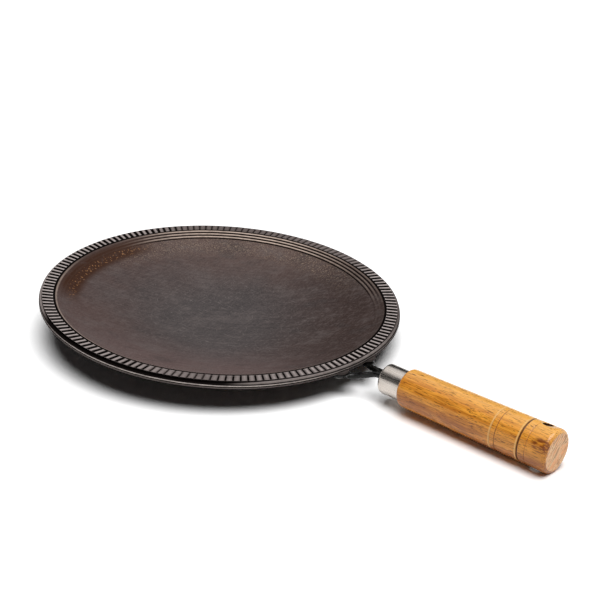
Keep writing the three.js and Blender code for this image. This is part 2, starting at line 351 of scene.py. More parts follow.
def base_rings():
    lip_inner = OUTER_FOOT[0] + (-RIM_SIDE_HEIGHT - OUTER_FOOT[1]) / math.tan(WALL_SLOPE)
    base = sphere_profile(BASE_SPHERE, BASE_PAD_RADIUS, WALL_FOOT[0], BASE_RINGS)[:-1]
    profile = [(0.0, base[0][1]), (BASE_PAD_RADIUS / 2, base[0][1])] + base
    profile += [OUTER_FOOT, (lip_inner, -RIM_SIDE_HEIGHT)]
    # The underside gets soot and painted shade
    return [pan_ring(radius, height, soot_and_shade=1.0) for radius, height in profile]


def side_rings():
    """The beads round the rim's side, and the recess above them, which is open only on one stretch."""
    rings = []
    # Painted highlights on the beads and the rim's side, weaker on the dull stretch and full where the beads
    # shine; the lower bead gets less of them
    kept_shine = 1 - DULL_SIDE * on_stretch(COARSE_ANGLES, *SIDE_DULL)
    bead_shine = kept_shine * (DULL_BEADS + (1 - DULL_BEADS) * on_stretch(COARSE_ANGLES, *BEADS_SHINE))
    for step in range(SIDE_BEADS * POINTS_A_BEAD):
        share = step / POINTS_A_BEAD
        bulge = abs(math.sin(math.pi * share)) ** BEAD_ROUNDNESS
        lower = share < 1
        wear_and_highlight = max(0.0, BEAD_CREST[0] * bulge - BEAD_CREST[1]) * bead_shine
        rings.append(pan_ring(RIM_RADIUS - SIDE_GROOVE_DEPTH * (1 - bulge),
                              -RIM_SIDE_HEIGHT + share * SIDE_BEAD_HEIGHT,
                              sunk=min(1.0, BEAD_GAP_DARK * (1 - bulge)),
                              wear_and_highlight=wear_and_highlight * (LOWER_BEAD_SHINE if lower else 1.0),
                              soot_and_shade=LOWER_BEAD_SOOT_AND_SHADE if lower else 0.0))
    # The open recess is all painted shade, and where it is filled its border gets wear and painted highlights
    opened = on_stretch(COARSE_ANGLES, *RECESS_OPEN)
    top = -RIM_SIDE_HEIGHT + SIDE_BEADS * SIDE_BEAD_HEIGHT + RECESS_HEIGHT
    floor = top - FILLED_RECESS - opened * (RECESS_HEIGHT - FILLED_RECESS)
    inner = RIM_RADIUS - RECESS_DEPTH
    bare_and_lit = BARE_AND_LIT_SIDE * kept_shine * (1 - opened)
    lip = RIM_RADIUS - SIDE_GROOVE_DEPTH
    rings += [pan_ring(lip, floor - RECESS_LIP[1], opened, bare_and_lit),
              pan_ring(lip - RECESS_LIP[0], floor, opened, bare_and_lit),
              pan_ring(inner + RECESS_FLOOR[0], floor + RECESS_FLOOR[1], opened, bare_and_lit),
              pan_ring(inner + RECESS_CORNER[0], floor + RECESS_FLOOR[1], 1.0),
              pan_ring(inner, floor + RECESS_CORNER[1], 1.0),
              pan_ring(inner, top - RECESS_ROOF[1], 1.0),
              pan_ring(inner + RECESS_ROOF[0], top, 1.0)]
    return rings


def band_ring(radius):
    """One fine ring of the fluted band, with its slots and rounded ribs."""
    pitch = 2 * math.pi * BAND_MIDDLE / FLUTES
    half = np.array(FLUTE_POINTS)
    across = np.concatenate([[-pitch / 2], -half[:0:-1], half])
    slots = (np.arange(FLUTES) + 0.5)[:, None] * 2 * math.pi / FLUTES
    slim = on_stretch(slots, *SLOTS_SLIM) + on_stretch(slots, *BAND_DULL)
    into_slot = 1 - smooth_step(FLUTE_FLOOR, FLUTE_EDGE, np.abs(across) / (1 - SLIMMING * slim))
    off_crown = np.clip((pitch / 2 - np.abs(across)) / (pitch / 2 - FLUTE_EDGE), 0, 1) ** 2
    within = (smooth_step(*INNER_SLOT_END, radius - BAND_INNER)
              * smooth_step(*OUTER_SLOT_END, BAND_OUTER - radius))
    depth = (within * np.maximum(FLUTE_DEPTH * into_slot, RIB_CROWN * off_crown)).ravel()
    skew = math.tan(FLUTE_SKEW) * (BAND_MIDDLE - radius) / radius
    angles = (slots + across / BAND_MIDDLE + skew).ravel()
    top = BAND_RISE * (radius - BAND_OUTER) / BAND_WIDTH
    deep = depth / FLUTE_DEPTH
    sidelong = np.abs(np.cos(angles - VIEW_TURN))
    dull = on_stretch(angles, *BAND_DULL)
    lighter_slots = LIGHTER_SLOT_SHARE * (dull + on_stretch(angles, *SLOTS_LIGHTER))
    # Painted shade in the slots, deeper where the flutes are seen from one side and less on the lighter and
    # dull stretches
    sunk = np.clip(deep * (SLOT_DARK[0] + SLOT_DARK[1] * sidelong), 0, 1) * (1 - lighter_slots)
    # Rib tops worn bare and given a painted highlight, more where the flutes are seen from one side and less
    # on the dull stretch
    bare_and_lit = np.clip(1 - deep * (RIB_EDGE[0] + RIB_EDGE[1] * sidelong), 0, 1)
    wear_and_highlight = bare_and_lit * (RIB_SHINE[0] + RIB_SHINE[1] * sidelong) * (1 - DULL_RIBS * dull)
    # Painted shade along the band's inner edge
    if radius < BAND_INNER + INNER_LINE_WIDTH:
        sunk = np.maximum(sunk, INNER_LINE_DARK)
    return pan_ring(radius, top - depth, sunk, wear_and_highlight, angles=angles)


def band_rings():
    outer, inner = BAND_OUTER - np.array(OUTER_EDGE_RINGS), BAND_INNER + np.array(INNER_EDGE_RINGS)
    middle = np.linspace(outer[-1], inner[-1], BAND_MIDDLE_RINGS + 2)[1:-1]
    return [band_ring(radius) for radius in np.concatenate([outer, middle, inner[::-1]])]


def wall_rings():
    """The line groove inside the band, and the ridged wall down to the dish."""
    floor = -BAND_RISE - LINE_GROOVE_DEPTH
    # The line groove's floor is all painted shade
    rings = [pan_ring(BAND_INNER - LINE_GROOVE_WIDTH * share, floor, sunk=1.0) for share in LINE_GROOVE_FLOOR]
    strength = WORN_RIDGES + (1 - WORN_RIDGES) * on_stretch(COARSE_ANGLES, *RIDGES_STAND)
    # Painted highlights on the ridge crests, full on the shine stretch, and a painted highlight along the
    # wall's top on the edge stretch
    shine = DULL_RIDGES + (1 - DULL_RIDGES) * on_stretch(COARSE_ANGLES, *RIDGES_SHINE)
    edge = EDGE_HIGHLIGHT * on_stretch(COARSE_ANGLES, *EDGE_SHINES)
    # Painted shade in the ridge valleys, darker on the dark stretch
    valley_shade = VALLEY_DARK + DARKER_VALLEY * on_stretch(COARSE_ANGLES, *VALLEYS_DARK)
    steps = RIDGES * POINTS_A_RIDGE
    for step in range(steps + 1):
        share = step / steps
        swell = abs(math.sin(math.pi * RIDGES * share))
        bulge = RIDGE_HEIGHT * swell ** RIDGE_ROUNDNESS * strength
        sunk = 1.0 if step < DARK_STEPS else np.clip(valley_shade - VALLEY_RISE * swell, 0, 1) * strength
        wear_and_highlight = max(0.0, RIDGE_CREST[0] * swell - RIDGE_CREST[1]) * strength * shine
        if step in EDGE_STEPS:
            wear_and_highlight = wear_and_highlight + edge
        rings.append(pan_ring(WALL_TOP[0] - share * WALL_RUN - bulge * math.sin(WALL_SLOPE),
                              WALL_TOP[1] - share * WALL_DROP + bulge * math.cos(WALL_SLOPE), sunk, wear_and_highlight))
    return rings


def dish_rings():
    foot = sphere_profile(DISH_SPHERE, WALL_FOOT[0] - DISH_EDGE_GAP, 0.0, DISH_RINGS)
    return [pan_ring(radius, height) for radius, height in foot]


def make_pan():
    points, faces = stacked_rings(base_rings() + side_rings() + band_rings() + wall_rings() + dish_rings())
    points = np.array(points)
    relief = points[:, 3:]
    places = points[:, :3]
    for point in places:
        bumps = noise.noise(Vector(point) / CAST_WAVE) + 2 * noise.noise(Vector(point) / BROAD_WAVE)
        point[2] += CAST_UNEVENNESS * bumps * min(1.0, abs(point[2] - UNDERSIDE_HEIGHT) / EVEN_REACH)
    pan = piece_from("pan_casting", places, faces, pan_place)
    for column, name in enumerate(RELIEF):
        keep_value(pan, name, relief[:, column])
    return pan


# The fork
ROD_SIDES = 24
TURNED_STEPS = 96
BEND_STEP = 0.8
STRAIGHT_STEP = 3 * BEND_STEP
# Where along a rod's foot the hammered stretch starts to round up, and its half width in eye radii
FLAT_START = 1.0
FLAT_WIDTH = 0.78
EYE_CHAMFER = 0.4
LUG_CHAMFER = 0.3
LUG_FLARE = 0.2
LUG_FLARE_RISE = 0.1


def on_rod_axis(along, sideways):
    """A point on a rod's straight stretch, beside the handle's axis and a little above it."""
    x = along * math.cos(HANDLE_RISE) - TANG_RISE * math.sin(HANDLE_RISE)
    z = along * math.sin(HANDLE_RISE) + TANG_RISE * math.cos(HANDLE_RISE)
    return Vector((x, sideways, HANDLE_HEIGHT + z))


def bent_route(corners):
    """Points along straight stretches with round bends between them."""
    stretches, start = [], corners[0]
    for before, corner, after in zip(corners, corners[1:], corners[2:]):
        bend_in = corner + (before - corner).normalized() * BEND_REACH
        bend_out = corner + (after - corner).normalized() * BEND_REACH
        count = max(2, int((bend_in - start).length / STRAIGHT_STEP))
        stretches += [start.lerp(bend_in, i / count) for i in range(count)]
        count = int(2 * BEND_REACH / BEND_STEP)
        for i in range(count):
            t = i / count
            stretches.append(bend_in.lerp(corner, t).lerp(corner.lerp(bend_out, t), t))
        start = bend_out
    count = int((corners[-1] - start).length / STRAIGHT_STEP)
    return stretches + [start.lerp(corners[-1], i / count) for i in range(count + 1)]


def make_rod(word, side):
    """One rod, hammered flat towards the eye that lies under its lug."""
    eye = Vector((LUG_X, side * LUG_SPREAD, EYE_TOP - ROD_RADIUS))
    split = on_rod_axis(HANDLE_REACH - NECK_STRAIGHT - BEND_REACH, side * ROD_OFFSET)
    arm = Vector((split.x - eye.x, split.y - eye.y, 0)).normalized()
    rod_end = eye + arm * (SCREW_HEAD_RADIUS + CLEARANCE)
    heel = rod_end + arm * FOOT_STRAIGHT
    tang_end = on_rod_axis(HANDLE_REACH + TANG_DEPTH, side * ROD_OFFSET)
    route = bent_route([rod_end, heel, split, tang_end])
    angles = np.arange(ROD_SIDES) * 2 * math.pi / ROD_SIDES
    rings = [np.array([route[0] + Vector((0, 0, ROD_RADIUS - EYE_THICKNESS / 2))])]
    travelled = 0.0
    for i, point in enumerate(route):
        ahead = (route[min(i + 1, len(route) - 1)] - route[max(i - 1, 0)]).normalized()
        travelled += (point - route[i - 1]).length if i else 0.0
        flat = 1 - float(smooth_step(FLAT_START, FOOT_STRAIGHT, travelled))
        half_height = ROD_RADIUS + flat * (EYE_THICKNESS / 2 - ROD_RADIUS)
        half_width = ROD_RADIUS + flat * (EYE_RADIUS * FLAT_WIDTH - ROD_RADIUS)
        aside = ahead.cross(Vector((0, 0, 1))).normalized()
        above = aside.cross(ahead)
        centre = point + Vector((0, 0, ROD_RADIUS - half_height))
        rings.append(np.array([centre + aside * (half_width * math.cos(angle))
                               + above * (half_height * math.sin(angle)) for angle in angles]))
    rings.append(np.array([route[-1]]))
    points, faces = stacked_rings(rings)
    rod = piece_from(f"fork_rod_{word}_bar", points, [face[::-1] for face in faces], pan_place)
    finished(rod, "black_rod", black_paint, f"fork_rod_{word}")
    hole, bottom = SCREW_RADIUS + CLEARANCE, EYE_TOP - EYE_THICKNESS
    ring = [(hole, bottom), (EYE_RADIUS - EYE_CHAMFER, bottom),
            (EYE_RADIUS, bottom + EYE_CHAMFER), (EYE_RADIUS, EYE_TOP - EYE_CHAMFER),
            (EYE_RADIUS - EYE_CHAMFER, EYE_TOP), (hole, EYE_TOP)]
    plate = turned_loop(f"fork_eye_{word}", ring, (LUG_X, side * LUG_SPREAD))
    finished(plate, "black_rod", black_paint)


def turned_loop(name, profile, centre):
    """A turned ring with a hole through it, from a closed profile about an upright axis."""
    rings = turned_rings(profile + profile[:1], TURNED_STEPS)
    points, faces = stacked_rings(rings)
    points = np.array(points) + np.array([centre[0], centre[1], 0])
    kept = len(points) - TURNED_STEPS
    faces = [[corner % kept for corner in face] for face in faces]
    return piece_from(name, points[:kept], faces, pan_place)


def make_fasteners(word, side):
    """One lug under the rim, and the material of the screw in it."""
    centre = np.array([LUG_X, side * LUG_SPREAD, 0])
    lug = [(0.0, LUG_BOTTOM), (LUG_RADIUS - LUG_CHAMFER, LUG_BOTTOM), (LUG_RADIUS, LUG_BOTTOM + LUG_CHAMFER),
           (LUG_RADIUS + LUG_FLARE, -RIM_SIDE_HEIGHT + LUG_FLARE_RISE),
           (LUG_RADIUS - LUG_FLARE, LUG_ROOT), (0.0, LUG_ROOT)]
    points, faces = stacked_rings(turned_rings(lug, TURNED_STEPS))
    boss = piece_from(f"pan_lug_{word}", np.array(points) + centre, faces, pan_place)
    for name, level in zip(RELIEF, LUG_RELIEF):
        keep_value(boss, name, np.full(len(points), level))
    finished(boss, "seasoned_iron", seasoned_iron)
    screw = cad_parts[f"fork_screw_{word}"].data
    screw.materials.clear()
    screw.materials.append(screw_steel)


# The handle
# How far beyond a bend a supporting ring keeps the straight stretch straight in the shading
SUPPORT = 0.3
FERRULE_ARC_STEPS = 10
FERRULE_EASING = (0.2, 0.25)
GRIP_ARC_STEPS = 8
GROOVE_POINTS = 9
GROOVE_ROUNDNESS = 1.5
PASSAGE_ARC_POINTS = 13
PASSAGE_OVERRUN = 2.0
# The hanging hole's eased mouths, and how far its cutter runs on and widens beyond them
HOLE_FLARE = 0.3
HOLE_MOUTH_DEPTH = 0.6
HOLE_OVERRUN = 4.0
OVERRUN_FLARE = 2.2
HOLE_PLACE = (GRIP_END - HANG_HOLE_INSET, 0.0, 0.0)
HOLE_WAY = (0.0, math.sin(HANG_HOLE_TURN), math.cos(HANG_HOLE_TURN))
# Materials of the grip beside the varnished wood, and how near their faces lie to the end and the hole
END_GRAIN_INDEX = 1
DRILLED_INDEX = 2
END_FACE_REACH = 0.15
BORE_REACH = 0.05


def ferrule_profile():
    end = HANDLE_REACH + FERRULE_LENGTH
    inner = FERRULE_RADIUS - FERRULE_WALL
    floor = HANDLE_REACH + FERRULE_FRONT_WALL
    centre = (FERRULE_RADIUS - FERRULE_ROUNDING, HANDLE_REACH + FERRULE_ROUNDING)
    front = arc(centre, FERRULE_ROUNDING, -math.pi / 2, 0, FERRULE_ARC_STEPS)
    return [(0.0, HANDLE_REACH)] + front + [
        (FERRULE_RADIUS, HANDLE_REACH + FERRULE_ROUNDING + SUPPORT),
        (FERRULE_RADIUS, end - FERRULE_EASING[1] - SUPPORT), (FERRULE_RADIUS, end - FERRULE_EASING[1]),
        (FERRULE_RADIUS - FERRULE_EASING[0], end), (inner, end), (inner, floor), (0.0, floor)]


def grip_radius(place):
    return GRIP_FRONT_RADIUS + (GRIP_END_RADIUS - GRIP_FRONT_RADIUS) * place / GRIP_LENGTH


def grip_profile():
    spigot = FERRULE_RADIUS - FERRULE_WALL - CLEARANCE
    spigot_start = HANDLE_REACH + FERRULE_FRONT_WALL + CLEARANCE
    front = (GRIP_FRONT_RADIUS - GRIP_FRONT_ROUNDING, GRIP_START + GRIP_FRONT_ROUNDING)
    end = (GRIP_END_RADIUS - GRIP_END_ROUNDING, GRIP_END - GRIP_END_ROUNDING)
    points = [(0.0, spigot_start), (spigot, spigot_start), (spigot, GRIP_START)]
    points += arc(front, GRIP_FRONT_ROUNDING, -math.pi / 2, 0, GRIP_ARC_STEPS)
    points.append((GRIP_FRONT_RADIUS, GRIP_START + GRIP_FRONT_ROUNDING + SUPPORT))
    for place, width, depth in TURNED_GROOVES:
        points.append((grip_radius(place), GRIP_START + place - width / 2 - SUPPORT))
        for share in np.linspace(-0.5, 0.5, GROOVE_POINTS):
            sunk = depth * math.cos(math.pi * share) ** GROOVE_ROUNDNESS
            points.append((grip_radius(place) - sunk, GRIP_START + place + share * width))
        points.append((grip_radius(place), GRIP_START + place + width / 2 + SUPPORT))
    points.append((GRIP_END_RADIUS, GRIP_END - GRIP_END_ROUNDING - SUPPORT))
    points += arc(end, GRIP_END_ROUNDING, 0, math.pi / 2, GRIP_ARC_STEPS)
    return points + [(GRIP_END_RADIUS / 2, GRIP_END), (0.0, GRIP_END)]


def cut(piece, cutter):
    """Take the cutter's shape out of a piece, and the cutter out of the scene."""
    modifier = piece.modifiers.new("cut", "BOOLEAN")
    modifier.object = cutter
    modifier.solver = "EXACT"
    view = bpy.context.evaluated_depsgraph_get()
    result = bpy.data.meshes.new_from_object(piece.evaluated_get(view))
    piece.modifiers.clear()
    piece.data = result
    bpy.data.objects.remove(cutter)


def oblong_cutter(start, end):
    """The passage for both rods, along the handle."""
    radius = ROD_RADIUS + CLEARANCE
    half = np.linspace(0, math.pi, PASSAGE_ARC_POINTS)
    outline = [(ROD_OFFSET + radius * math.sin(a), radius * math.cos(a)) for a in half]
    outline += [(-ROD_OFFSET - radius * math.sin(a), -radius * math.cos(a)) for a in half]
    points = [(x, y, z + TANG_RISE) for x in (start, end) for y, z in outline]
    count = len(outline)
    faces = [list(range(count)), list(range(2 * count - 1, count - 1, -1))]
    faces += [[i, count + i, count + (i + 1) % count, (i + 1) % count] for i in range(count)]
    return piece_from("passage", points, faces, handle_place)


def hang_hole_cutter():
    """A hole that leans a little to one side, with both its mouths eased."""
    reach = GRIP_END_RADIUS - HOLE_MOUTH_DEPTH
    mouth = HANG_HOLE_RADIUS + HOLE_FLARE
    upper = [(HANG_HOLE_RADIUS, reach - HOLE_FLARE), (mouth, reach),
             (mouth + OVERRUN_FLARE, reach + HOLE_OVERRUN), (0.0, reach + HOLE_OVERRUN)]
    profile = [(radius, -height) for radius, height in reversed(upper)] + upper
    points, faces = stacked_rings(turned_rings(profile, TURNED_STEPS))
    lean = Matrix.Rotation(-HANG_HOLE_TURN, 4, "X")
    middle = Matrix.Translation(HOLE_PLACE)
    return piece_from("hole", points, faces, handle_place @ middle @ lean)


def turned_on_handle(name, profile, steps):
    points, faces = stacked_rings(turned_rings(profile, steps, along_x=True))
    return piece_from(name, points, faces, handle_place)


def make_handle():
    """The ferrule and the grip, with the passage for the rods and the hanging hole."""
    passage_start = HANDLE_REACH - PASSAGE_OVERRUN
    ferrule = turned_on_handle("ferrule_cap", ferrule_profile(), 2 * TURNED_STEPS)
    cut(ferrule, oblong_cutter(passage_start, HANDLE_REACH + FERRULE_FRONT_WALL + PASSAGE_OVERRUN))
    keep_local_place(ferrule, handle_place)
    finished(ferrule, "ferrule_steel", satin_steel, "ferrule")
    grip = turned_on_handle("grip_wood", grip_profile(), 2 * TURNED_STEPS)
    cut(grip, oblong_cutter(passage_start, HANDLE_REACH + TANG_DEPTH + CLEARANCE))
    cut(grip, hang_hole_cutter())
    local = keep_local_place(grip, handle_place)
    place = local[:, 0] - GRIP_START
    from_axis = np.hypot(local[:, 1], local[:, 2])
    sunk = np.zeros(len(local))
    for middle, width, _ in TURNED_GROOVES:
        inside = np.abs(place - middle) < width / 2
        sunk = np.where(inside, grip_radius(place) - from_axis, sunk)
    keep_value(grip, "sunk", np.clip(sunk, 0, 1))
    finished(grip, "varnished_wood", varnished_wood, "grip")
    grip.data.materials.append(end_grain)
    grip.data.materials.append(drilled_wood)
    from_hole = np.linalg.norm(np.cross(local - np.array(HOLE_PLACE), np.array(HOLE_WAY)), axis=1)
    for face in grip.data.polygons:
        corners = list(face.vertices)
        if local[corners, 0].min() > GRIP_END - END_FACE_REACH:
            face.material_index = END_GRAIN_INDEX
        elif from_hole[corners].max() < HANG_HOLE_RADIUS + BORE_REACH:
            face.material_index = DRILLED_INDEX


class Shader:
    """A material under construction: adds nodes, and wires values or sockets into them."""

    def __init__(self, name):
        self.material = bpy.data.materials.new(name)
        self.material.use_nodes = True
        self.tree = self.material.node_tree
        self.surface = self.tree.nodes["Principled BSDF"]

    def node(self, kind, inputs=(), **settings):
        node = self.tree.nodes.new(kind)
        for key, value in settings.items():
            setattr(node, key, value)
        for key, value in dict(inputs).items():
            self.feed(node.inputs[key], value)
        return node

    def feed(self, socket, value):
        if isinstance(value, bpy.types.NodeSocket):
            self.tree.links.new(value, socket)
        else:
            socket.default_value = value

    def set(self, **inputs):
        for key, value in inputs.items():
            self.feed(self.surface.inputs[key.replace("_", " ")], value)

    def value(self, name):
        return self.node("ShaderNodeAttribute", attribute_name=name).outputs["Fac"]

    def place(self):
        return self.node("ShaderNodeAttribute", attribute_name="local_mm").outputs["Vector"]

    def math(self, operation, first, second=0.0):
        return self.node("ShaderNodeMath", {0: first, 1: second}, operation=operation).outputs[0]

    def times(self, first, second):
        return self.math("MULTIPLY", first, second)

    def vector(self, operation, first, second=(0, 0, 0)):
        return self.node("ShaderNodeVectorMath", {0: first, 1: second}, operation=operation).outputs[0]

    def length(self, vector):
        node = self.node("ShaderNodeVectorMath", {0: vector}, operation="LENGTH")
        return node.outputs["Value"]

    def stretch(self, vector, scale):
        return self.node("ShaderNodeMapping", {"Vector": vector, "Scale": scale}).outputs[0]

    def laid(self, vector, size, turn):
        """A place measured in a mark's three sizes, with the marks turned."""
        return self.node("ShaderNodeMapping", {"Vector": vector, "Rotation": turn, "Scale": size},
                         vector_type="TEXTURE").outputs[0]

    def fibres(self, vector, turn, length, width):
        """A place measured in fibre lengths and widths, with the fibres turned about Z."""
        return self.laid(vector, (length, width, width), (0, 0, turn))

    def reach(self, vector, direction):
        """How far a place lies in one direction."""
        node = self.node("ShaderNodeVectorMath", {0: vector, 1: direction}, operation="DOT_PRODUCT")
        return node.outputs["Value"]

    def noise(self, vector, scale, detail=3.0, roughness=0.5, distortion=0.0):
        node = self.node("ShaderNodeTexNoise", {"Vector": vector, "Scale": scale, "Detail": detail,
                                                "Roughness": roughness, "Distortion": distortion})
        return node.outputs["Fac"]

    def span(self, value, low, high, to_low=0.0, to_high=1.0):
        return self.node("ShaderNodeMapRange", {"Value": value, "From Min": low, "From Max": high,
                                                "To Min": to_low, "To Max": to_high},
                         interpolation_type="SMOOTHSTEP").outputs["Result"]

    def mix(self, share, first, second):
        node = self.node("ShaderNodeMix", data_type="RGBA", clamp_factor=True)
        for index, value in ((0, share), (6, first), (7, second)):
            self.feed(node.inputs[index], value)
        return node.outputs[2]

    def bump(self, height, strength, distance, normal=None):
        inputs = {"Height": height, "Strength": strength, "Distance": distance}
        if normal is not None:
            inputs["Normal"] = normal
        return self.node("ShaderNodeBump", inputs).outputs["Normal"]


def rgb(red, green, blue):
    return (red, green, blue, 1.0)


# Colours of the iron
IRON_GREY = rgb(0.068, 0.059, 0.059)
IRON_BROWN = rgb(0.082, 0.053, 0.048)
# Painted sheen towards the front and near left, painted shade at the right, and painted sheen at the back
NEAR_LEFT_SHEEN_BROWN = rgb(0.100, 0.066, 0.061)
NEAR_SHEEN_BROWN = rgb(0.145, 0.100, 0.096)
RIGHT_SHADE_DARK = rgb(0.036, 0.022, 0.019)
BACK_SHEEN_BRONZE = rgb(0.125, 0.080, 0.068)
PALE_CLOUD = rgb(0.125, 0.104, 0.100)
DARK_CLOUD = rgb(0.036, 0.032, 0.032)
PALE_MARK = rgb(0.150, 0.122, 0.116)
DARK_MARK = rgb(0.026, 0.022, 0.022)
SCRATCH_GREY = rgb(0.24, 0.21, 0.20)
PALE_GRAIN = rgb(0.145, 0.115, 0.105)
DARK_GRAIN = rgb(0.020, 0.016, 0.015)
# Painted glints at the far wall
GLINT_BRONZE = rgb(0.29, 0.215, 0.16)
RUST_DARK = rgb(0.040, 0.015, 0.007)
RUST_BRIGHT = rgb(0.40, 0.20, 0.09)
RIM_GREY = rgb(0.085, 0.070, 0.066)
# Colours of the crests, paler with wear and painted highlights
RIDGE_WEAR_AND_HIGHLIGHT = rgb(0.74, 0.59, 0.49)
BAND_WEAR_AND_HIGHLIGHT = rgb(0.56, 0.49, 0.47)
SIDE_WEAR_AND_HIGHLIGHT = rgb(0.68, 0.60, 0.56)
# Painted shade for slots, grooves and the recess
SLOT_SHADE_BLACK = rgb(0.003, 0.002, 0.002)
# Soot of the underside, darkened further as painted shade
SOOT_AND_SHADE_BLACK = rgb(0.010, 0.009, 0.008)
# Colours of the rods, the ferrule and the screws
PAINT_BLACK = rgb(0.003, 0.003, 0.003)
PAINT_WORN = rgb(0.009, 0.009, 0.008)
STEEL_LIGHT = rgb(0.57, 0.52, 0.475)
STEEL_STAIN = rgb(0.50, 0.45, 0.405)
ZINC_LIGHT = rgb(0.50, 0.50, 0.49)
ZINC_STAIN = rgb(0.30, 0.28, 0.25)
# Colours of the wood
WOOD_BROWN = rgb(0.61, 0.205, 0.022)
WOOD_HONEY = rgb(0.96, 0.41, 0.052)
WOOD_STREAK = rgb(0.35, 0.10, 0.010)
# Painted highlight on the top of the grip and painted shade under it
WOOD_HIGHLIGHT = rgb(0.97, 0.53, 0.14)
WOOD_SHADE = rgb(0.30, 0.085, 0.012)
WOOD_PORE = rgb(0.115, 0.032, 0.007)
WOOD_KNOT = rgb(0.17, 0.034, 0.006)
GROOVE_BROWN = rgb(0.075, 0.022, 0.006)
# Painted highlight on groove edges and on the hole's lip
PALE_EDGE_HIGHLIGHT = rgb(0.95, 0.58, 0.20)
END_TAN = rgb(1.0, 0.52, 0.25)
END_PALE = rgb(1.0, 0.74, 0.46)
END_LINE = rgb(0.45, 0.18, 0.08)
END_PORE = rgb(0.36, 0.13, 0.05)
# Raw wood of the hanging hole, darkened as painted shade
BORE_SHADE_DARK = rgb(0.045, 0.015, 0.005)
BORE_BROWN = rgb(0.12, 0.042, 0.013)
# Directions across the pan, as the camera sees it
TO_RIGHT = (0.777, 0.629, 0.0)
TO_BACK = (-0.629, 0.777, 0.0)
TO_FRONT = (0.629, -0.777, 0.0)
TO_NEAR_LEFT = (-0.105, -0.994, 0.0)
TO_RUST = (-0.959, -0.284, 0.0)
STROKE_TURN = VIEW_TURN


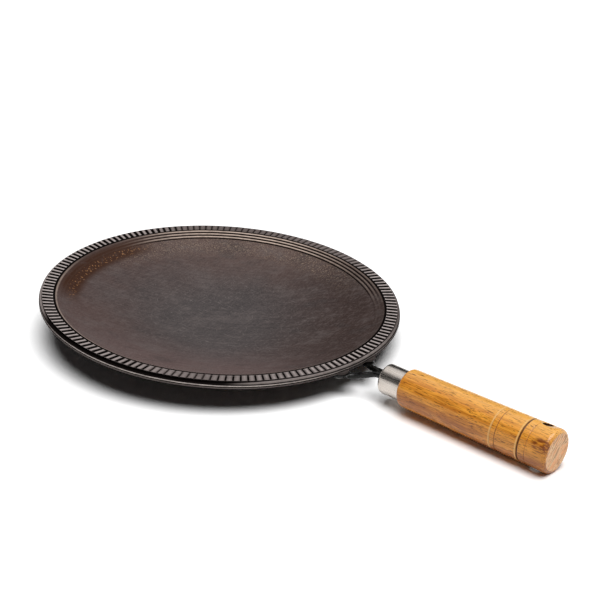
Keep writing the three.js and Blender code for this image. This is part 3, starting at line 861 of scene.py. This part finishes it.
def make_seasoned_iron():
    """Dark brown-grey iron, greyer in the middle, with brush marks, cast grain and rust at the far left."""
    shader = Shader("seasoned_iron")
    times = shader.times
    place = shader.place()
    flat = shader.vector("MULTIPLY", place, (1, 1, 0))
    radius = shader.length(flat)
    outward_way = shader.vector("NORMALIZE", flat)
    patches = shader.noise(place, 0.022, 4.0, 0.55)
    grain = shader.noise(place, 0.75, 3.0, 0.65)

    # Broad colours: grey in the middle and brown outward, with painted sheen lighter towards the front and
    # near left, painted shade darkest at the right, and painted sheen in bronze at the back
    brown = times(shader.span(radius, 30.0, 112.0), shader.span(patches, 0.3, 0.65, 0.5, 1.0))
    colour = shader.mix(brown, IRON_GREY, IRON_BROWN)
    near_left_sheen = shader.span(shader.reach(flat, TO_NEAR_LEFT), 30.0, 115.0, 0.0, 0.6)
    colour = shader.mix(near_left_sheen, colour, NEAR_LEFT_SHEEN_BROWN)
    near_sheen = shader.span(shader.reach(flat, TO_FRONT), 30.0, 115.0, 0.0, 0.55)
    colour = shader.mix(near_sheen, colour, NEAR_SHEEN_BROWN)
    right_shade = shader.span(shader.reach(flat, TO_RIGHT), 10.0, 112.0, 0.0, 0.92)
    colour = shader.mix(right_shade, colour, RIGHT_SHADE_DARK)
    back_sheen = shader.span(shader.reach(flat, TO_BACK), 55.0, 112.0, 0.0, 0.6)
    colour = shader.mix(back_sheen, colour, BACK_SHEEN_BRONZE)

    # Brush marks along the view's width and askew, thin scratches, and grain
    clouds = shader.noise(shader.fibres(place, STROKE_TURN, 34.0, 20.0), 1.0, 4.0, 0.6)
    colour = shader.mix(shader.span(clouds, 0.50, 0.72, 0.0, 0.40), colour, PALE_CLOUD)
    colour = shader.mix(shader.span(clouds, 0.48, 0.28, 0.0, 0.45), colour, DARK_CLOUD)
    strokes = shader.noise(shader.fibres(place, STROKE_TURN, 17.0, 2.4), 1.0, 4.0, 0.65)
    crossing = shader.noise(shader.fibres(place, STROKE_TURN + 1.0, 9.0, 1.6), 1.0, 4.0, 0.6)
    marks = shader.math("ADD", strokes, crossing)
    colour = shader.mix(shader.span(marks, 0.95, 1.25, 0.0, 0.30), colour, PALE_MARK)
    colour = shader.mix(shader.span(marks, 1.0, 0.72, 0.0, 0.25), colour, DARK_MARK)
    scratches = shader.noise(shader.fibres(place, STROKE_TURN - 0.6, 9.0, 0.75), 1.0, 2.0, 0.5)
    inner = shader.span(radius, 95.0, 60.0)
    colour = shader.mix(times(shader.span(scratches, 0.62, 0.72, 0.0, 0.38), inner), colour, SCRATCH_GREY)
    cuts = shader.noise(shader.fibres(place, STROKE_TURN + 1.7, 7.0, 0.7), 1.0, 2.0, 0.5)
    colour = shader.mix(times(shader.span(cuts, 0.64, 0.73, 0.0, 0.36), inner), colour, SCRATCH_GREY)
    colour = shader.mix(shader.span(grain, 0.5, 0.72, 0.0, 0.28), colour, PALE_GRAIN)
    colour = shader.mix(shader.span(grain, 0.47, 0.28, 0.0, 0.38), colour, DARK_GRAIN)

    # Bronze specks of painted glints where the dish rises to the far wall
    far_turn = shader.span(shader.reach(outward_way, TO_BACK), 0.3, 0.8)
    glint_ring = times(shader.span(radius, 96.0, 112.0), shader.span(radius, 125.0, 119.0))
    glint_specks = shader.span(shader.noise(place, 1.0, 2.0, 0.6), 0.54, 0.66)
    colour = shader.mix(times(times(far_turn, glint_ring), times(glint_specks, 0.85)), colour, GLINT_BRONZE)

    # Rust at the foot of the wall on the far left, with a few bright spots
    rust_turn = shader.span(shader.reach(outward_way, TO_RUST), 0.80, 0.95)
    rust_zone = times(rust_turn, times(shader.span(radius, 107.0, 114.0), shader.span(radius, 130.0, 123.0)))
    blotches = shader.span(shader.noise(place, 0.28, 5.0, 0.7), 0.22, 0.44)
    colour = shader.mix(times(times(rust_zone, blotches), 0.94), colour, RUST_DARK)
    spot_ring = times(rust_turn, times(shader.span(radius, 112.0, 115.0), shader.span(radius, 121.0, 118.5)))
    spots = shader.span(shader.noise(place, 0.6, 2.0, 0.5), 0.60, 0.68)
    colour = shader.mix(times(times(spot_ring, spots), 0.8), colour, RUST_BRIGHT)

    # Crests of the ribs, ridges and beads paler with wear and painted highlights, and dark slots and grooves
    # between them in painted shade
    sunk = shader.value("sunk")
    wear_and_highlight = shader.value("wear_and_highlight")
    on_rim = shader.span(radius, BAND_INNER - 1.0, BAND_INNER + 0.2)
    colour = shader.mix(times(on_rim, 0.7), colour, RIM_GREY)
    worn_and_lit = shader.mix(on_rim, RIDGE_WEAR_AND_HIGHLIGHT, BAND_WEAR_AND_HIGHLIGHT)
    worn_and_lit = shader.mix(shader.span(radius, RIM_RADIUS - 1.3, RIM_RADIUS - 0.5), worn_and_lit, SIDE_WEAR_AND_HIGHLIGHT)
    patchiness = shader.span(shader.noise(place, 0.2, 3.0, 0.6), 0.25, 0.6, 0.55, 0.95)
    colour = shader.mix(times(wear_and_highlight, patchiness), colour, worn_and_lit)
    # Painted shade: slots, grooves, valleys, bead gaps and the open recess darken from their sunk values
    colour = shader.mix(shader.span(sunk, 0.15, 0.7, 0.0, 0.97), colour, SLOT_SHADE_BLACK)
    # Soot on the underside, the lugs and the lower bead, darkened further as painted shade
    soot_and_shade = shader.value("underside")
    colour = shader.mix(times(soot_and_shade, 0.85), colour, SOOT_AND_SHADE_BLACK)

    rough = shader.span(shader.noise(place, 0.12, 5.0, 0.65), 0.3, 0.7, 0.45, 0.65)
    rough = shader.math("ADD", rough, times(shader.math("MAXIMUM", sunk, soot_and_shade), 0.25))
    normal = shader.bump(grain, 0.2, 0.0004)
    normal = shader.bump(marks, 0.14, 0.0005, normal)
    shader.set(Base_Color=colour, Roughness=rough, Normal=normal,
               Specular_IOR_Level=shader.span(sunk, 0.0, 0.5, 0.09, 0.0))
    return shader.material


def make_black_paint():
    """Glossy black paint, a little lumpy."""
    shader = Shader("black_rod")
    place = shader.place()
    lumps = shader.noise(place, 0.16, 3.0, 0.5)
    fine = shader.noise(place, 1.3, 3.0, 0.6)
    colour = shader.mix(shader.span(lumps, 0.35, 0.7), PAINT_BLACK, PAINT_WORN)
    shader.set(Base_Color=colour, Specular_IOR_Level=0.22, Roughness=shader.span(fine, 0.3, 0.7, 0.10, 0.20),
               Normal=shader.bump(fine, 0.1, 0.0004, shader.bump(lumps, 0.5, 0.002)))
    return shader.material


def make_satin_steel():
    """Brushed steel, with its brush marks running along the ferrule."""
    shader = Shader("ferrule_steel")
    place = shader.place()
    marks = shader.noise(shader.stretch(place, (0.1, 1.3, 1.3)), 1.0, 3.0, 0.6)
    stain = shader.noise(place, 0.09, 3.0, 0.5)
    colour = shader.mix(shader.span(stain, 0.3, 0.7), STEEL_LIGHT, STEEL_STAIN)
    shader.set(Base_Color=colour, Metallic=1.0, Roughness=shader.span(marks, 0.3, 0.7, 0.20, 0.30),
               Normal=shader.bump(marks, 0.02, 0.0003))
    return shader.material


def make_screw_steel():
    """Zinc-grey steel with a few stains."""
    shader = Shader("screw_steel")
    place = shader.node("ShaderNodeTexCoord").outputs["Object"]
    stain = shader.noise(place, 500.0, 4.0, 0.6)
    colour = shader.mix(shader.span(stain, 0.35, 0.7), ZINC_LIGHT, ZINC_STAIN)
    shader.set(Base_Color=colour, Metallic=1.0, Roughness=shader.span(stain, 0.3, 0.7, 0.28, 0.5))
    return shader.material


# Where the knot sits in the wood, near the end of the grip on its right-hand side
KNOT_PLACE = (GRIP_END - 5.0, -13.5, 8.0)
KNOT_SIZE = (9.0, 8.0, 6.0)
# Places along the grip where a groove's front edge gets a painted highlight
PALE_EDGES = (79.3, 100.5)
# Distances from the hanging hole's axis where the painted highlight on its lip ends and where it is full
LIP_HIGHLIGHT = (HANG_HOLE_RADIUS + 1.2, HANG_HOLE_RADIUS + 0.5)
END_GRAIN_TURN = math.radians(48)
# How far the grain sways aside along the grip, in millimetres
GRAIN_SWAY = (1, 9, -7)


def make_varnished_wood():
    """Honey-coloured open-grained wood under varnish, with the grain along the handle."""
    shader = Shader("varnished_wood")
    times = shader.times
    place = shader.place()
    sway = shader.noise(shader.stretch(place, (0.02, 0.05, 0.05)), 1.0, 2.0, 0.5)
    aside = shader.node("ShaderNodeCombineXYZ", {"Y": sway, "Z": sway}).outputs[0]
    swayed = shader.vector("ADD", place, shader.stretch(aside, GRAIN_SWAY))
    rings = shader.noise(shader.stretch(swayed, (0.012, 0.30, 0.30)), 1.0, 3.0, 0.55, 0.4)
    streaks = shader.noise(shader.stretch(swayed, (0.03, 1.1, 1.1)), 1.0, 4.0, 0.6)
    pores = shader.noise(shader.stretch(swayed, (0.16, 1.7, 1.7)), 1.0, 2.0, 0.5)
    mottle = shader.noise(shader.stretch(place, (0.05, 0.12, 0.12)), 1.0, 3.0, 0.55)

    colour = shader.mix(shader.span(rings, 0.34, 0.64), WOOD_BROWN, WOOD_HONEY)
    colour = shader.mix(shader.span(streaks, 0.48, 0.68, 0.0, 0.72), colour, WOOD_STREAK)
    # Painted highlight paler along the top, and painted shade darker and mottled along the bottom
    highlit_top = shader.span(shader.reach(place, (0, 0.35, 1.0)), 7.0, 15.0, 0.0, 0.6)
    colour = shader.mix(highlit_top, colour, WOOD_HIGHLIGHT)
    shaded_bottom = shader.span(shader.reach(place, (0, -0.25, -1.0)), -6.0, 14.0)
    colour = shader.mix(times(shaded_bottom, shader.span(mottle, 0.35, 0.62, 0.25, 0.85)), colour, WOOD_SHADE)
    colour = shader.mix(shader.span(pores, 0.57, 0.68, 0.0, 0.85), colour, WOOD_PORE)

    # A red-brown knot that runs to the end edge
    offset = shader.vector("SUBTRACT", place, KNOT_PLACE)
    near = shader.length(shader.stretch(offset, tuple(1 / size for size in KNOT_SIZE)))
    stripes = shader.noise(shader.stretch(place, (0.14, 0.75, 0.75)), 1.0, 2.0)
    knot = times(shader.span(near, 1.0, 0.55), shader.span(stripes, 0.40, 0.54, 0.2, 1.0))
    colour = shader.mix(times(knot, 0.9), colour, WOOD_KNOT)

    # Dark turned grooves, two of them with a painted highlight on the front edge, and a painted highlight on
    # the lip of the hanging hole
    colour = shader.mix(shader.span(shader.value("sunk"), 0.0, 0.7, 0.0, 0.92), colour, GROOVE_BROWN)
    along = shader.reach(place, (1.0, 0.0, 0.0))
    for edge in PALE_EDGES:
        away = shader.math("ABSOLUTE", shader.math("SUBTRACT", along, GRIP_START + edge))
        colour = shader.mix(shader.span(away, 0.7, 0.3, 0.0, 0.7), colour, PALE_EDGE_HIGHLIGHT)
    around = shader.vector("CROSS_PRODUCT", shader.vector("SUBTRACT", place, HOLE_PLACE), HOLE_WAY)
    lip = shader.span(shader.length(around), *LIP_HIGHLIGHT, 0.0, 0.6)
    colour = shader.mix(lip, colour, PALE_EDGE_HIGHLIGHT)
    rough = shader.span(pores, 0.4, 0.7, 0.32, 0.5)
    normal = shader.bump(pores, 0.14, -0.0004, shader.bump(streaks, 0.1, 0.0005))
    shader.set(Base_Color=colour, Roughness=rough, Normal=normal, Specular_IOR_Level=0.1,
               Coat_Weight=0.6, Coat_Roughness=0.13)
    return shader.material


def make_end_grain():
    """Sawn end of the grip: paler, dry, with short pores across the growth rings."""
    shader = Shader("end_grain")
    place = shader.place()
    turn = (END_GRAIN_TURN, 0, 0)
    rings = shader.noise(shader.laid(place, (10.0, 10.0, 2.6), turn), 1.0, 3.0, 0.6, 0.9)
    lines = shader.noise(shader.laid(place, (10.0, 8.0, 1.8), turn), 1.0, 2.0, 0.5, 1.2)
    pores = shader.noise(shader.laid(place, (10.0, 1.5, 0.4), turn), 1.0, 3.0, 0.65)
    colour = shader.mix(shader.span(rings, 0.35, 0.65), END_TAN, END_PALE)
    colour = shader.mix(shader.span(lines, 0.50, 0.60, 0.0, 0.75), colour, END_LINE)
    colour = shader.mix(shader.span(pores, 0.52, 0.68, 0.0, 0.6), colour, END_PORE)
    shader.set(Base_Color=colour, Roughness=0.72, Normal=shader.bump(pores, 0.3, -0.0004))
    return shader.material


def make_drilled_wood():
    """Raw wood inside the hanging hole, darkened as painted shade, with torn fibres along the handle."""
    shader = Shader("drilled_wood")
    fibres = shader.noise(shader.stretch(shader.place(), (0.3, 1.6, 1.6)), 1.0, 3.0, 0.6)
    colour = shader.mix(shader.span(fibres, 0.35, 0.65), BORE_SHADE_DARK, BORE_BROWN)
    shader.set(Base_Color=colour, Roughness=0.9, Specular_IOR_Level=0.05,
               Normal=shader.bump(fibres, 0.5, 0.0005))
    return shader.material


# The stage: a white table under one soft lamp high above, and two dark cards that only reflections show
FLOOR_SIZE = 16.0
FLOOR_WHITE = 0.95
FLOOR_SEEN = 1.27
FILL_STRENGTH = 0.02
KEY_FROM = (0.14, -0.03, 1.0)
KEY_ANGLE = math.radians(54)
KEY_STRENGTH = 3.15
CARD_BLACK = rgb(0.01, 0.01, 0.01)
# Place and size of each card: one beside the camera and one behind the tawa
CARDS = (((-0.882, -0.470, 0.750), (1.9, 0.92)),
         ((-0.50, 0.725, 0.40), (1.2, 0.64)))


def flat_sheet(name, width, height):
    """A flat rectangle about its own middle."""
    x, y = width / 2, height / 2
    mesh = bpy.data.meshes.new(name)
    mesh.from_pydata([(-x, -y, 0), (x, -y, 0), (x, y, 0), (-x, y, 0)], [], [(0, 1, 2, 3)])
    sheet = bpy.data.objects.new(name, mesh)
    bpy.context.scene.collection.objects.link(sheet)
    return sheet


def make_floor():
    """A table that is seen, and mirrored, whiter than it lights the tawa."""
    floor = flat_sheet("table", FLOOR_SIZE, FLOOR_SIZE)
    shader = Shader("table_white")
    rays = shader.node("ShaderNodeLightPath")
    shown = shader.math("MAXIMUM", rays.outputs["Is Camera Ray"], rays.outputs["Is Glossy Ray"])
    shown = shader.math("MAXIMUM", shown, rays.outputs["Is Transmission Ray"])
    seen = shader.mix(shown, rgb(FLOOR_WHITE, FLOOR_WHITE, FLOOR_WHITE),
                      rgb(FLOOR_SEEN, FLOOR_SEEN, FLOOR_SEEN))
    shader.set(Base_Color=seen, Roughness=0.9, Specular_IOR_Level=0.0)
    floor.data.materials.append(shader.material)


def make_key():
    lamp = bpy.data.lights.new("key", "SUN")
    lamp.angle = KEY_ANGLE
    lamp.energy = KEY_STRENGTH
    light = bpy.data.objects.new("key", lamp)
    bpy.context.scene.collection.objects.link(light)
    light.rotation_euler = Vector(KEY_FROM).to_track_quat("Z", "Y").to_euler()


def make_card(place, size):
    """A dark card facing the tawa, which gives bright metal a dark band."""
    card = flat_sheet("card", *size)
    card.location = place
    card.rotation_euler = Vector(place).to_track_quat("Z", "Y").to_euler()
    card.visible_camera = card.visible_diffuse = card.visible_shadow = card.visible_transmission = False
    shader = Shader("card_black")
    shader.set(Base_Color=CARD_BLACK, Roughness=0.9, Specular_IOR_Level=0.0)
    card.data.materials.append(shader.material)


def make_world():
    world = bpy.data.worlds.new("studio")
    bpy.context.scene.world = world
    world.use_nodes = True
    nodes, links = world.node_tree.nodes, world.node_tree.links
    rays = nodes.new("ShaderNodeLightPath")
    first = nodes.new("ShaderNodeMath")
    second = nodes.new("ShaderNodeMath")
    level = nodes.new("ShaderNodeMapRange")
    first.operation = second.operation = "MAXIMUM"
    links.new(rays.outputs["Is Camera Ray"], first.inputs[0])
    links.new(rays.outputs["Is Glossy Ray"], first.inputs[1])
    links.new(first.outputs[0], second.inputs[0])
    links.new(rays.outputs["Is Transmission Ray"], second.inputs[1])
    links.new(second.outputs[0], level.inputs["Value"])
    level.inputs["To Min"].default_value = FILL_STRENGTH
    level.inputs["To Max"].default_value = 1.0
    background = nodes["Background"]
    background.inputs["Color"].default_value = (1, 1, 1, 1)
    links.new(level.outputs[0], background.inputs["Strength"])


def make_camera():
    camera = bpy.data.objects.new("camera", bpy.data.cameras.new("camera"))
    bpy.context.scene.collection.objects.link(camera)
    camera.data.lens = CAMERA_LENS
    camera.data.sensor_width = SENSOR_WIDTH
    camera.data.clip_end = CAMERA_REACH
    turn = (Matrix.Rotation(CAMERA_HEADING - math.pi / 2, 4, "Z")
            @ Matrix.Rotation(math.pi / 2 - CAMERA_PITCH, 4, "X") @ Matrix.Rotation(CAMERA_ROLL, 4, "Z"))
    camera.matrix_world = Matrix.Translation(CAMERA_PLACE) @ turn
    bpy.context.scene.camera = camera


seasoned_iron = make_seasoned_iron()
black_paint = make_black_paint()
satin_steel = make_satin_steel()
screw_steel = make_screw_steel()
varnished_wood = make_varnished_wood()
end_grain = make_end_grain()
drilled_wood = make_drilled_wood()

finished(make_pan(), "seasoned_iron", seasoned_iron, "pan")
for word, side in (("left", 1), ("right", -1)):
    make_rod(word, side)
    make_fasteners(word, side)
make_handle()

make_floor()
make_world()
make_key()
for card_place, card_size in CARDS:
    make_card(card_place, card_size)
make_camera()
bpy.context.scene.view_settings.view_transform = "Standard"
